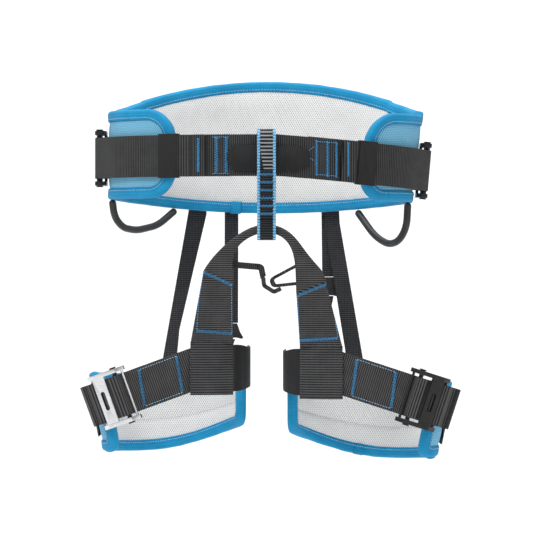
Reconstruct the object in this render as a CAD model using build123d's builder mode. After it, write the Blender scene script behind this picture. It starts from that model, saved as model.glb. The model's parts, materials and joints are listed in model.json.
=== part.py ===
from build123d import *
import math
import os

os.makedirs("parts", exist_ok=True)

# A climbing harness, worn shape. Millimetres, +X to the right as seen from the front,
# +Y from the front belt to the wearer's back, +Z up, origin at the centre of the waist.

# ---- waist pad: a leaning oval wall that is open at the front ----
WAIST_DEPTH = 110.0  # inner half depth, front to back
WAIST_SIDE_R = 80.0  # inner plan radius at the hips
WAIST_LOW = -75.0  # height of the wall's lower guide oval
WAIST_HIGH = 105.0
WAIST_LEFT = -165.0  # inner wall on the left, upright
WAIST_RIGHT = 157.4  # inner wall on the right at the origin's height
WAIST_LEAN = 0.12  # the right wall leans out by this much per unit of height
WAIST_BACK = (-58.5, 90.0)  # the pad's lower and upper edge at the middle of the back
HIP_LEFT = (-45.0, 51.0)  # lower and upper edge at the left hip and along the left flap
HIP_RIGHT = (-48.0, 47.0)
HIP_X = 172.0
FLAP_END_LEFT = -98.0
FLAP_END_RIGHT = 104.0
FLAP_CORNER = 33.0
BACK_PEAK_X = -5.0  # where the back's upper edge is highest
CORNER_MID = 1 - math.sqrt(0.5)  # how far a rounded corner's middle stands in, in corner radii
FAR_X = 200.0  # anywhere clear of the wall, where trimming outlines close
FAR_Y = 200.0  # deeper than the harness, so that a trimming outline cuts all of it

# layers of a pad, as distances out from its inner wall
LINER = (0.0, 1.5)
FOAM = (1.6, 7.4)
SHELL = (7.5, 9.0)
BINDING = (-0.8, 9.8)
BINDING_WIDTH = 10.0
BINDING_SKIN = 1.2

# ---- webbing ----
WEB_WIDTH = 45.0
WEB_THICK = 2.2
BELT_OUT = 12.4  # middle of the belt's inner run, out from the pad's inner wall
TAIL_OUT = 14.8  # middle of the belt's outer run
DROOP = 5.0  # degrees that the right half of the front belt hangs down
DROOP_X = 20.0  # where the droop begins
DROOP_LEVEL = -12.0  # height of the waist oval that the drooping half follows
WEBBING_START_Y = 50.0  # how far back the webbing round the outside of the pad begins

# ---- quick-adjust buckle, in its own frame: x out, y to the front, z across the webbing ----
RAIL_IN = 25.5
RAIL_THICK = 4.5
BAR_R = 2.5
BAR_Y = 8.0
BAR_X = 8.6
BAR_SLIDE = 3.0
BAR_PROUD = 0.4  # how far the bar stands out of each rail
HEAD_OVER = 1.2  # the bar's end discs, larger than the bar by this at every side
HEAD_THICK = 1.4
SLOT_GAP = 0.08
REAR_BAR_Y = -24.0
REAR_BAR_X = 2.9
REAR_BAR_R = 1.7
PLATE_X = 11.4  # the plate that crosses over the webbing behind the bar
PLATE_Y = -11.5
PLATE_WIDE = 15.0
WINDOW_LONG = 21.0  # the oval window through that plate
WINDOW_WIDE = 5.0
BUCKLE_OUT = 10.0  # the buckle's zero, out from the pad's inner wall

# ---- belay loop and bridge ----
LOOP_Y = -125.5
BRIDGE_Z = -78.4
LOOP_WIDTH = 20.0
LOOP_INNER_R = 7.5
LOOP_THICK = 4.5
LOOP_TOP = 16.0
LOOP_BOTTOM = -79.0
TUBE = 9.0

# ---- leg loops ----
LEG_Y = -8.0
LEG_DEPTH = 70.0
LEG_CORNER = 42.0
LEG_LOW = -330.0
LEG_HIGH = -200.0
LEG_OUTER = {-1: (-183.0, -243.0), 1: (192.0, -252.0)}  # outer wall's x, and the height it is at
LEG_LEAN = {-1: -0.18, 1: 0.2}  # how much the outer wall moves in x for each unit of height
LEG_INNER = {-1: -32.5, 1: 33.0}  # inner wall's x
LEG_FAR_X = 220.0  # past each leg's outer wall
LEG_FLAP_CORNER = 14.0
LEG_STRAP_OUT = 13.8
LEG_BUCKLE_TURN = {-1: 25.0, 1: 18.0}  # degrees from straight ahead towards the outside
LEG_BUCKLE_Z = -262.0
LEG_SLOPE = {-1: 20.0, 1: 18.0}  # degrees that each leg strap falls to the outside
LEG_PLANE_X = 82.0  # where the strap's plan plane has its origin
LEG_PLANE_Z = {-1: -230.8, 1: -234.6}
LEG_WEB_THICK = 2.0
HEM_LONG = 10.5  # the tail's folded end
HEM_THICK = 4.2
STRAP_END_X = 74.0  # where the leg strap ends inside the riser's sleeve


def side_radius(a, b, r):
    """The long arc's radius in a four-arc oval with half sizes a, b and side radius r."""
    return ((a - r) ** 2 + b * b - r * r) / (2 * (b - r))


def waist_oval(z, out):
    """Centre x, half width, half depth, side radius and long radius of the waist oval."""
    right = WAIST_RIGHT + WAIST_LEAN * z
    a = (right - WAIST_LEFT) / 2
    long_r = side_radius(a, WAIST_DEPTH, WAIST_SIDE_R)
    return (right + WAIST_LEFT) / 2, a + out, WAIST_DEPTH + out, WAIST_SIDE_R + out, long_r + out


def draw_oval(cx, a, b, r, long_r):
    """The closed four-arc oval as a flat face."""
    turn = math.degrees(math.atan2(long_r - b, a - r))
    with BuildSketch() as oval:
        with BuildLine():
            CenterArc((cx + a - r, 0), r, -turn, 2 * turn)
            CenterArc((cx, b - long_r), long_r, turn, 180 - 2 * turn)
            CenterArc((cx - a + r, 0), r, 180 - turn, 2 * turn)
            CenterArc((cx, long_r - b), long_r, 180 + turn, 180 - 2 * turn)
        make_face()
    return oval.sketch


def waist_wall(inner, outer):
    """The waist's leaning wall between two distances out from the inner surface."""
    with BuildPart() as wall:
        for out, mode in ((outer, Mode.ADD), (inner, Mode.SUBTRACT)):
            for z in (WAIST_LOW, WAIST_HIGH):
                with BuildSketch(Plane.XY.offset(z)):
                    add(draw_oval(*waist_oval(z, out)))
            loft(ruled=True, mode=mode)
    return wall.part


def flap_face(free_x, far_x, low, high, corner):
    """A flap's outline: a box with its two corners at free_x rounded."""
    turn = 1 if free_x > far_x else -1
    with BuildSketch() as face:
        with BuildLine():
            Line((far_x, low), (free_x - turn * corner, low))
            ThreePointArc(
                (free_x - turn * corner, low),
                (free_x - turn * corner * CORNER_MID, low + corner * CORNER_MID),
                (free_x, low + corner),
            )
            Line((free_x, low + corner), (free_x, high - corner))
            ThreePointArc(
                (free_x, high - corner),
                (free_x - turn * corner * CORNER_MID, high - corner * CORNER_MID),
                (free_x - turn * corner, high),
            )
            Line((free_x - turn * corner, high), (far_x, high))
            Line((far_x, high), (far_x, low))
        make_face()
    return face.sketch


def waist_outline(inset):
    """The solid that trims a waist layer to its shape, drawn in by inset at every edge."""
    with BuildPart() as body:
        with BuildSketch(Plane.XZ):
            with BuildLine():
                ThreePointArc((-HIP_X, HIP_LEFT[1]), (BACK_PEAK_X, WAIST_BACK[1]), (HIP_X, HIP_RIGHT[1]))
                Polyline(
                    (HIP_X, HIP_RIGHT[1]),
                    (FAR_X, HIP_RIGHT[1]),
                    (FAR_X, HIP_RIGHT[0]),
                    (HIP_X, HIP_RIGHT[0]),
                )
                ThreePointArc((HIP_X, HIP_RIGHT[0]), (0, WAIST_BACK[0]), (-HIP_X, HIP_LEFT[0]))
                Polyline(
                    (-HIP_X, HIP_LEFT[0]),
                    (-FAR_X, HIP_LEFT[0]),
                    (-FAR_X, HIP_LEFT[1]),
                    (-HIP_X, HIP_LEFT[1]),
                )
            make_face()
            offset(amount=-inset)
        extrude(amount=-FAR_Y)
        with BuildSketch(Plane.XZ):
            for side, end_x, heights in ((-1, FLAP_END_LEFT, HIP_LEFT), (1, FLAP_END_RIGHT, HIP_RIGHT)):
                low = heights[0] + inset
                high = heights[1] - inset
                add(flap_face(end_x + side * inset, side * FAR_X, low, high, FLAP_CORNER - inset))
        extrude(amount=FAR_Y)
    return body.part


def binding_around(wall, outline, name):
    """A folded tape round a pad's edge: wall(inner, outer) trimmed by outline(inset)."""
    with BuildPart() as tape:
        add(wall(*BINDING))
        add(outline(0), mode=Mode.INTERSECT)
    with BuildPart() as core:
        add(wall(LINER[0] - 0.1, SHELL[1] + 0.1))
        add(outline(BINDING_SKIN), mode=Mode.INTERSECT)
    with BuildPart() as window:
        add(wall(BINDING[0] - 5, BINDING[1] + 5))
        add(outline(BINDING_WIDTH), mode=Mode.INTERSECT)
    with BuildPart() as rim:
        add(tape.part)
        add(core.part, mode=Mode.SUBTRACT)
        add(window.part, mode=Mode.SUBTRACT)
    save(rim.part, name)


def pad_layer(wall, outline, layer, name):
    """One sheet of a pad, a little inside the binding's fold."""
    with BuildPart() as sheet:
        add(wall(*layer))
        add(outline(BINDING_SKIN + 0.2), mode=Mode.INTERSECT)
    save(sheet.part, name)


def save(solid, name):
    """Labels one node and writes it."""
    solid.label = name
    export_step(solid, f"parts/{name}.step")
    print(name, len(solid.solids()), round(solid.volume), solid.is_valid)


def make_pad(wall, outline, prefix, ending):
    """The four layers of a padded part."""
    for part_name, layer in (("foam", FOAM), ("liner", LINER), ("shell", SHELL)):
        pad_layer(wall, outline, layer, f"{prefix}_{part_name}{ending}")
    binding_around(wall, outline, f"{prefix}_binding{ending}")


make_pad(waist_wall, waist_outline, "waist_pad", "")


# ---- belt pieces in plan, on a plane that may hang down at one side ----
def belt_plane(side):
    """The plan plane of the front belt: level on the left, drooping on the right."""
    if side < 0:
        return Plane.XY
    t = math.radians(DROOP)
    along = (math.cos(t), 0, -math.sin(t))
    up = (math.sin(t), 0, math.cos(t))
    return Plane(origin=(DROOP_X, 0, 0), x_dir=along, z_dir=up)


def belt_oval(side):
    """The waist oval at the belt, in the belt plane's own coordinates."""
    if side < 0:
        return waist_oval(0, 0)
    cx, a, b, r, long_r = waist_oval(DROOP_LEVEL, 0)
    right = (cx + a - DROOP_X) / math.cos(math.radians(DROOP))
    cx = cx - DROOP_X
    a = right - cx
    return cx, a, b, r, side_radius(a, b, r)


def band_face(centre, r1, r2, a1, a2):
    """A curved strip between two radii and two angles, as a face."""
    with BuildSketch() as band:
        with BuildLine():
            low = CenterArc(centre, r1, a1, a2 - a1)
            high = CenterArc(centre, r2, a1, a2 - a1)
            Line(low @ 0, high @ 0)
            Line(low @ 1, high @ 1)
        make_face()
    return band.sketch


def front_angle(side, x, out):
    """Angle on the belt's front arc at plan coordinate x."""
    cx, a, b, r, long_r = belt_oval(side)
    return -90 + math.degrees(math.asin((x - cx) / (long_r + out)))


def plan_x(side, x):
    """The x on one side's belt plane that lies at the harness's own x."""
    return x if side < 0 else (x - DROOP_X) / math.cos(math.radians(DROOP))


def buckle_path_front(radius, strand):
    """Points where a run at this radius leaves the body and reaches the bar, buckle frame."""
    reach = math.hypot(strand[0] + radius[1], strand[1])
    turn = math.acos(radius[0] / reach) + math.atan2(strand[1], strand[0] + radius[1])
    return (radius[0] * math.cos(turn) - radius[1], radius[0] * math.sin(turn)), turn


KINK_Y = 9.0
LOW_RUN = (4.7, KINK_Y)
HIGH_RUN = (BAR_X + 4.0, KINK_Y)
WRAP_Y = BAR_Y - BAR_SLIDE


def waist_strap(side, name, inner_end, tail_end, hem):
    """The front webbing: from the centre to the bar, round it, and back as a tail."""
    cx, a, b, r, long_r = belt_oval(side)
    turn = math.degrees(math.atan2(long_r - b, a - r))
    hip = (cx + side * (a - r), 0)
    front = (cx, long_r - b)
    zero = r + BUCKLE_OUT

    def place(point):
        """Buckle frame x out, y to the front, to plan coordinates."""
        return (hip[0] + side * (zero + point[0]), -point[1])

    def arcs(out, leave, end_x):
        """The run along the body at one distance out, from the hip to its end."""
        end = front_angle(side, plan_x(side, end_x), out)
        start = -90 + side * (90 - turn)
        hip_from = -math.degrees(leave) if side > 0 else 180 + math.degrees(leave)
        CenterArc(front, long_r + out, start, end - start)
        hip_to = -turn if side > 0 else 180 + turn
        CenterArc(hip, r + out, hip_from, hip_to - hip_from)

    low_point, low_leave = buckle_path_front((r + BELT_OUT, zero), LOW_RUN)
    high_point, high_leave = buckle_path_front((r + TAIL_OUT, zero), HIGH_RUN)
    wrap_low = (LOW_RUN[0], WRAP_Y)
    wrap_high = (HIGH_RUN[0], WRAP_Y)
    wrap_mid = ((LOW_RUN[0] + HIGH_RUN[0]) / 2, WRAP_Y - (HIGH_RUN[0] - LOW_RUN[0]) / 2)
    with BuildPart() as strap:
        with BuildSketch(belt_plane(side)):
            with BuildLine():
                arcs(BELT_OUT, low_leave, inner_end)
                FilletPolyline(place(low_point), place(LOW_RUN), place(wrap_low), radius=9)
                ThreePointArc(place(wrap_low), place(wrap_mid), place(wrap_high))
                FilletPolyline(place(wrap_high), place(HIGH_RUN), place(high_point), radius=7)
                arcs(TAIL_OUT, high_leave, tail_end)
            trace(line_width=WEB_THICK)
            a1 = front_angle(side, plan_x(side, hem[0]), TAIL_OUT)
            a2 = front_angle(side, plan_x(side, hem[1]), TAIL_OUT)
            add(band_face(front, long_r + TAIL_OUT, long_r + TAIL_OUT + 3.3, a1, a2))
        extrude(amount=WEB_WIDTH / 2, both=True)
    save(strap.part, name)


waist_strap(-1, "waist_strap_left", -38.0, -65.4, (-78.0, -65.4))
waist_strap(1, "waist_strap_right", 42.0, 81.0, (96.0, 81.0))


def keeper(side, name, x0, x1):
    """An elastic sleeve round both runs of the belt, curved about the belt's own centre."""
    cx, a, b, r, long_r = belt_oval(side)
    a1 = front_angle(side, plan_x(side, x0), 13)
    a2 = front_angle(side, plan_x(side, x1), 13)
    front = (cx, long_r - b)
    with BuildPart() as sleeve:
        with BuildSketch(belt_plane(side)):
            add(band_face(front, long_r + 10.2, long_r + 17.0, a1, a2))
        extrude(amount=WEB_WIDTH / 2 + 1.3, both=True)
        with BuildSketch(belt_plane(side)):
            add(band_face(front, long_r + 11.0, long_r + 16.2, min(a1, a2) - 3, max(a1, a2) + 3))
        extrude(amount=WEB_WIDTH / 2 + 0.5, both=True, mode=Mode.SUBTRACT)
    save(sleeve.part, name)


keeper(-1, "waist_keeper_left", -114.8, -94.4)
keeper(1, "waist_keeper_right", 97.5, 116.5)


# ---- the quick-adjust buckle, made once in its own frame ----
RAIL_OUTLINE = ((1.0, -27), (5.2, -27.5), (12.8, -17), (13.6, 12), (7.4, 20), (3.6, 20), (1.0, 8))
RAIL_CORNER = 1.5
SLOT_SPARE = 0.4  # free length in the bar's slot past its slide

with BuildPart() as buckle_frame:
    with BuildSketch(Plane.XY):
        with BuildLine():
            FilletPolyline(*RAIL_OUTLINE, radius=RAIL_CORNER, close=True)
        make_face()
        with Locations((BAR_X, BAR_Y - BAR_SLIDE / 2)):
            slot_wide = 2 * (BAR_R + SLOT_GAP)
            SlotOverall(slot_wide + BAR_SLIDE + SLOT_SPARE, slot_wide, rotation=90, mode=Mode.SUBTRACT)
    extrude(amount=RAIL_IN + RAIL_THICK, both=True)
    with BuildSketch(Plane.XY):
        Rectangle(60, 80)
    extrude(amount=RAIL_IN, both=True, mode=Mode.SUBTRACT)
    with BuildSketch(Plane.XY):
        with Locations((REAR_BAR_X, REAR_BAR_Y)):
            Circle(REAR_BAR_R)
        with Locations((PLATE_X, PLATE_Y)):
            RectangleRounded(2.2, PLATE_WIDE, 0.9)
        with Locations((5.7, 16)):
            RectangleRounded(1.8, 3, 0.8)
    extrude(amount=RAIL_IN + 0.5, both=True)
    with BuildSketch(Plane(origin=(PLATE_X - 1.2, PLATE_Y, 0), x_dir=(0, 0, 1), z_dir=(1, 0, 0))):
        SlotOverall(WINDOW_LONG, WINDOW_WIDE)
    extrude(amount=4, mode=Mode.SUBTRACT)

with BuildPart() as buckle_bar:
    with BuildSketch(Plane.XY):
        with Locations((BAR_X, BAR_Y)):
            Circle(BAR_R)
    extrude(amount=RAIL_IN + RAIL_THICK + BAR_PROUD, both=True)
    head_z = RAIL_IN + RAIL_THICK + BAR_PROUD - 0.1
    for z in (head_z, -head_z - HEAD_THICK):
        with BuildSketch(Plane.XY.offset(z)):
            with Locations((BAR_X, BAR_Y)):
                Circle(BAR_R + HEAD_OVER)
        extrude(amount=HEAD_THICK)


def buckle_place(plane, origin, out_angle, side):
    """The location of a buckle whose outward direction is at an angle in a plan plane."""
    out = Vector(math.cos(math.radians(out_angle)), math.sin(math.radians(out_angle)), 0)
    spot = plane.from_local_coords(Vector(origin[0], origin[1], 0))
    x_dir = plane.from_local_coords(out) - plane.origin
    z_dir = plane.z_dir * (-side)
    return Plane(origin=spot, x_dir=x_dir, z_dir=z_dir)


def place_buckle(place, where):
    """Writes a frame and its bar at one place."""
    for source, part_name in ((buckle_frame, "buckle_frame"), (buckle_bar, "buckle_bar")):
        with BuildPart() as copy:
            with Locations(place.location):
                add(source.part)
        save(copy.part, where.replace("_at", "_" + part_name))


ANCHOR_WRAP = 3.0  # middle of the fold, from the rear bar's centre
ANCHOR_THICK = 1.7
ANCHOR_PINCH = 1.2  # half the distance between the fold's two strands where they meet the pad
ANCHOR_SIDE = 1.0  # how much narrower than the webbing the fold is at each edge


def anchor(place, radius, reach, lift, name):
    """A webbing fold: from the pad's surface, round the rear bar, and back to the pad."""
    centre = Vector(REAR_BAR_X, REAR_BAR_Y, 0)
    far_y = REAR_BAR_Y - reach
    far = Vector(math.sqrt((radius + lift) ** 2 - far_y * far_y) - radius, far_y, 0)
    back = (far - centre).normalized()
    low = Vector(back.Y, -back.X, 0)
    if low.X > 0:
        low = low * -1
    with BuildPart() as fold:
        with BuildSketch(Plane.XY):
            with BuildLine():
                Line(far + low * ANCHOR_PINCH, centre + low * ANCHOR_WRAP)
                ThreePointArc(
                    centre + low * ANCHOR_WRAP, centre - back * ANCHOR_WRAP, centre - low * ANCHOR_WRAP
                )
                Line(centre - low * ANCHOR_WRAP, far - low * ANCHOR_PINCH)
            trace(line_width=ANCHOR_THICK)
        extrude(amount=WEB_WIDTH / 2 - ANCHOR_SIDE, both=True)
    with BuildPart() as placed:
        with Locations(place.location):
            add(fold.part)
    save(placed.part, name)


for side, ending in ((-1, "left"), (1, "right")):
    cx, a, b, r, long_r = belt_oval(side)
    hip_x = cx + side * (a - r)
    spot = (hip_x + side * (r + BUCKLE_OUT), 0)
    where = buckle_place(belt_plane(side), spot, 0 if side > 0 else 180, side)
    place_buckle(where, "waist_at_" + ending)
    anchor(where, r + BUCKLE_OUT, reach=22, lift=3.4, name="waist_anchor_" + ending)

# ---- webbing round the outside of the waist pad ----
with BuildPart() as waist_webbing_back:
    add(waist_wall(9.2, 11.2))
    with BuildSketch(Plane.XZ):
        with BuildLine():
            Polyline((-220, -22), (0, -22), (220, -32), (220, 12), (0, 22), (-220, 22), close=True)
        make_face()
    extrude(amount=-FAR_Y, mode=Mode.INTERSECT)
    with BuildSketch(Plane.XY.offset(-60)):
        Rectangle(500, 2 * WEBBING_START_Y)
    extrude(amount=120, mode=Mode.SUBTRACT)
save(waist_webbing_back.part, "waist_webbing_back")

# ---- tie-in webbing and its smooth protector ----
with BuildPart() as tie_in_webbing:
    add(waist_wall(14.0, 16.2))
    with BuildSketch(Plane.XZ):
        with BuildLine():
            Polyline((-61, -22.3), (12, -22.3), (78, -27.5), (78, 17.1), (12, 22.3), (-61, 22.3), close=True)
        make_face()
    extrude(amount=FAR_Y, mode=Mode.INTERSECT)
save(tie_in_webbing.part, "tie_in_webbing")

with BuildPart() as tie_in_protector:
    add(waist_wall(16.5, 19.0))
    with BuildSketch(Plane.XZ):
        with BuildLine():
            below = ((-42, -6), (-36, -17), (30, -17.5), (46, -12))
            above = ((46, 4), (30, 10), (-36, 10.7), (-42, 2))
            Polyline(*below, *above, close=True)
        make_face()
        fillet(vertices(), 2.5)
    extrude(amount=FAR_Y, mode=Mode.INTERSECT)
save(tie_in_protector.part, "tie_in_protector")

# ---- belay loop: a closed webbing loop, and the lap where it is sewn to itself ----
LOOP_TALL = LOOP_TOP - LOOP_BOTTOM + 2 * (LOOP_INNER_R + LOOP_THICK)
LOOP_MID = (LOOP_TOP + LOOP_BOTTOM) / 2
with BuildPart() as belay_loop:
    with BuildSketch(Plane.YZ):
        with Locations((LOOP_Y, LOOP_MID)):
            SlotOverall(LOOP_TALL, 2 * (LOOP_INNER_R + LOOP_THICK), rotation=90)
            SlotOverall(LOOP_TALL - 2 * LOOP_THICK, 2 * LOOP_INNER_R, rotation=90, mode=Mode.SUBTRACT)
    extrude(amount=LOOP_WIDTH / 2, both=True)
save(belay_loop.part, "belay_loop")

with BuildPart() as belay_loop_lap:
    with BuildSketch(Plane.YZ):
        with Locations((LOOP_Y - LOOP_INNER_R - LOOP_THICK - 1.1, -42)):
            RectangleRounded(2.0, 52, 0.9)
    extrude(amount=LOOP_WIDTH / 2, both=True)
save(belay_loop_lap.part, "belay_loop_lap")


# ---- front bridge: webbing that flares from a rolled tube to the flat riser ----
def bridge(side, name, stations):
    """A loft through rounded cross-sections: (x, y, z, direction in degrees, width, depth)."""
    with BuildPart() as flare:
        for x, y, z, heading, width, depth in stations:
            t = math.radians(heading)
            normal = (side * math.cos(t), 0, -math.sin(t))
            across = (side * math.sin(t), 0, math.cos(t))
            with BuildSketch(Plane(origin=(side * x, y, z), x_dir=across, z_dir=normal)):
                RectangleRounded(width, depth, depth * 0.45)
        loft()
    save(flare.part, name)


bridge(
    -1,
    "front_bridge_left",
    (
        (0.1, LOOP_Y, BRIDGE_Z, 0, TUBE, TUBE),
        (11, LOOP_Y, BRIDGE_Z - 1.8, 18, TUBE, TUBE),
        (24, LOOP_Y, -86.3, 31, 9.2, 8.8),
        (36, -124.4, -96.2, 46, 11.5, 7.6),
        (45.5, -122.2, -112, 60, 22, 5.6),
        (51.5, -119.5, -131, 65, 35, 4.6),
    ),
)
bridge(
    1,
    "front_bridge_right",
    (
        (0.1, LOOP_Y, BRIDGE_Z, 0, TUBE, TUBE),
        (11, LOOP_Y, BRIDGE_Z - 1.8, 18, TUBE, TUBE),
        (22, LOOP_Y, -86.3, 36, 9.2, 8.8),
        (31.5, -124.2, -98.2, 52, 11.5, 7.6),
        (39.5, -121.6, -115.5, 62, 20, 5.6),
        (47.5, -117.5, -142, 68, 34, 4.6),
    ),
)


# ---- legs ----
def leg_box(side, z, out):
    """Centre x, half width, half depth and corner radius of a leg loop's rounded plan."""
    outer_x, outer_z = LEG_OUTER[side]
    outer = outer_x + LEG_LEAN[side] * (z - outer_z)
    inner = LEG_INNER[side]
    return (outer + inner) / 2, abs(outer - inner) / 2 + out, LEG_DEPTH + out, LEG_CORNER + out


def leg_wall_for(side):
    """A function that makes one leg's wall between two distances out."""

    def wall(inner, outer):
        with BuildPart() as ring:
            for out, mode in ((outer, Mode.ADD), (inner, Mode.SUBTRACT)):
                for z in (LEG_LOW - 15, LEG_HIGH + 10):
                    cx, a, b, r = leg_box(side, z, out)
                    with BuildSketch(Plane.XY.offset(z)):
                        with Locations((cx, LEG_Y)):
                            RectangleRounded(2 * a, 2 * b, r)
                loft(ruled=True, mode=mode)
        return ring.part

    return wall


LEG_PAD = {
    # back outline from the inner thigh to the outside, then where the front flap ends
    -1: (
        ((-12, -225), (-110, -238), (-212, -234)),
        ((-212, -319), (-115, -322), (-12, -287)),
        -168,
        -235,
        -320,
    ),
    1: (
        ((12, -232), (115, -246), (224, -243)),
        ((224, -325), (120, -331), (12, -296)),
        172,
        -244,
        -326,
    ),
}


def leg_outline_for(side):
    """A function that makes the solid trimming one leg pad's layers, drawn in by inset."""
    top, low, flap_x, flap_top, flap_low = LEG_PAD[side]

    def outline(inset):
        with BuildPart() as body:
            with BuildSketch(Plane.XZ):
                with BuildLine():
                    ThreePointArc(*top)
                    Line(top[2], low[0])
                    ThreePointArc(*low)
                    Line(low[2], top[0])
                make_face()
                offset(amount=-inset)
            extrude(amount=-FAR_Y)
            with BuildSketch(Plane.XZ):
                x1 = flap_x + side * inset
                x2 = side * LEG_FAR_X
                tall = flap_top - flap_low - 2 * inset
                with Locations(((x1 + x2) / 2, (flap_top + flap_low) / 2)):
                    RectangleRounded(abs(x2 - x1), tall, max(LEG_FLAP_CORNER - inset, 2))
            extrude(amount=FAR_Y)
            with BuildSketch(Plane.XZ):
                with Locations((side * 10, (top[0][1] + low[2][1]) / 2)):
                    Rectangle(50, 400)
            extrude(amount=20 + inset, both=True, mode=Mode.SUBTRACT)
        return body.part

    return outline


def leg_plane(side):
    """The plan plane of a leg strap, tilted down to the outside."""
    t = math.radians(LEG_SLOPE[side])
    return Plane(
        origin=(side * LEG_PLANE_X, 0, LEG_PLANE_Z[side]),
        x_dir=(math.cos(t), 0, -side * math.sin(t)),
        z_dir=(side * math.sin(t), 0, math.cos(t)),
    )


def leg_corner(side):
    """The outer front corner's centre on the leg strap's plan plane."""
    t = math.radians(LEG_SLOPE[side])
    cx, a, b, r = leg_box(side, LEG_BUCKLE_Z, 0)
    x = (cx + side * (a - r) - side * LEG_PLANE_X) / math.cos(t)
    return (x, LEG_Y - (b - r)), r


def leg_strap(side, name):
    """The leg webbing: under the front bar, over the sliding bar and out as a hemmed tail."""
    centre, r = leg_corner(side)
    out_angle = -90 + side * LEG_BUCKLE_TURN[side]
    zero = r + BUCKLE_OUT + 1.5

    def place(point):
        """Buckle frame to plan coordinates."""
        t = math.radians(out_angle)
        along = (math.cos(t) * (zero + point[0]), math.sin(t) * (zero + point[0]))
        front = (side * math.sin(t) * point[1], -side * math.cos(t) * point[1])
        return (centre[0] + along[0] + front[0], centre[1] + along[1] + front[1])

    climb = (4.6, BAR_Y + 4.3)
    over = BAR_X + 4.0
    bend = (BAR_X + 0.5, -27.5) if side < 0 else (BAR_X, -27.5)
    end = (0.0, -37.5) if side < 0 else (-2.0, -41.0)
    length = math.hypot(end[0] - bend[0], end[1] - bend[1])
    run = ((end[0] - bend[0]) / length, (end[1] - bend[1]) / length)
    out = (-run[1], run[0])
    hem = [
        (end[0] - run[0] * back + out[0] * rise, end[1] - run[1] * back + out[1] * rise)
        for back, rise in ((0, 0), (0, HEM_THICK), (HEM_LONG, HEM_THICK), (HEM_LONG, 0))
    ]
    front_y = centre[1] - r - LEG_STRAP_OUT
    with BuildPart() as strap:
        with BuildSketch(leg_plane(side)):
            with BuildLine():
                FilletPolyline(
                    (side * -14, front_y),
                    (centre[0] - side * 8, front_y),
                    place(climb),
                    place((over, BAR_Y + 4.3)),
                    place((over, 1.2)),
                    place((BAR_X, -5.5)),
                    place(bend),
                    place(end),
                    radius=1.9,
                )
            trace(line_width=LEG_WEB_THICK)
            with BuildLine():
                Polyline(*[place(corner) for corner in hem], close=True)
            make_face()
        extrude(amount=WEB_WIDTH / 2, both=True)
        with BuildSketch(Plane.XY.offset(-400)):
            Rectangle(2 * STRAP_END_X, 400)
        extrude(amount=300, mode=Mode.SUBTRACT)
    save(strap.part, name)


for side, ending in ((-1, "left"), (1, "right")):
    leg_wall = leg_wall_for(side)
    make_pad(leg_wall, leg_outline_for(side), "leg_pad", "_" + ending)
    leg_strap(side, "leg_strap_" + ending)
    centre, r = leg_corner(side)
    out_angle = -90 + side * LEG_BUCKLE_TURN[side]
    zero = r + BUCKLE_OUT + 1.5
    t = math.radians(out_angle)
    spot = (centre[0] + zero * math.cos(t), centre[1] + zero * math.sin(t))
    where = buckle_place(leg_plane(side), spot, out_angle, side)
    place_buckle(where, "leg_at_" + ending)
    anchor(where, zero, reach=13, lift=6.0, name="leg_anchor_" + ending)

# ---- sleeves, risers, thigh bands and the webbing behind each leg pad ----
SLEEVE_Z = {-1: (-257.5, -200.0), 1: (-262.0, -204.5)}
SLEEVE_X = (36.0, 82.0)


def front_riser(side, name, top, base):
    """A sewn double riser that ends in a sleeve round the leg strap."""
    low, high = SLEEVE_Z[side]
    mid = side * (SLEEVE_X[0] + SLEEVE_X[1]) / 2
    wide = SLEEVE_X[1] - SLEEVE_X[0]
    wall = leg_wall_for(side)
    outside = wall(10.0, 17.6)
    inside = wall(12.3, 15.3)
    with BuildPart() as cavity:
        add(inside)
        with BuildSketch(Plane.XZ):
            with Locations((mid, (low + high) / 2)):
                Rectangle(wide + 8, high - low - 4)
        extrude(amount=130, mode=Mode.INTERSECT)
    with BuildPart() as riser:
        add(outside)
        with BuildSketch(Plane.XZ):
            with Locations((mid, (low + high) / 2)):
                Rectangle(wide, high - low)
        extrude(amount=130, mode=Mode.INTERSECT)
        add(cavity.part, mode=Mode.SUBTRACT)
    with BuildPart() as slab:
        for x, y, z, across, wide_here in (top, base):
            normal = Vector(*across).cross(Vector(0, 1, 0.0)) if across[2] else Vector(0, 0, -1)
            with BuildSketch(Plane(origin=(side * x, y, z), x_dir=across, z_dir=normal)):
                Rectangle(wide_here, 4.6)
        loft(ruled=True)
    with BuildPart() as whole:
        add(riser.part)
        add(slab.part)
    save(whole.part, name)


def lean(side, degrees):
    """A unit direction in the XZ plane, up and outward at an angle to the horizontal."""
    t = math.radians(degrees)
    return (side * math.cos(t), 0, math.sin(t))


def face_in(side, degrees):
    """A level unit direction, outward and turned forward by an angle."""
    t = math.radians(degrees)
    return (side * math.cos(t), -math.sin(t), 0)


front_riser(
    -1,
    "front_riser_left",
    (51.7, -119.4, -131.4, lean(-1, 25), 35),
    (59, -90.2, -201.5, face_in(-1, 12), 46),
)
front_riser(
    1,
    "front_riser_right",
    (47.7, -117.4, -142.4, lean(1, 22), 34),
    (59, -90.2, -206.0, face_in(1, 12), 46),
)


def trimmed_wall(side, name, layer, outline, y0, y1, cut=None):
    """A strip of a leg's wall inside an XZ outline and a depth range."""
    wall = leg_wall_for(side)
    piece = wall(*layer)
    with BuildPart() as strip:
        add(piece)
        with BuildSketch(Plane.XZ.offset(-y0)):
            with BuildLine():
                Polyline(*outline, close=True)
            make_face()
        extrude(amount=-(y1 - y0), mode=Mode.INTERSECT)
        if cut:
            with BuildSketch(Plane.XY.offset(-400)):
                with Locations((cut[0], cut[1])):
                    Rectangle(cut[2], cut[3])
            extrude(amount=300, mode=Mode.SUBTRACT)
    save(strip.part, name)


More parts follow.
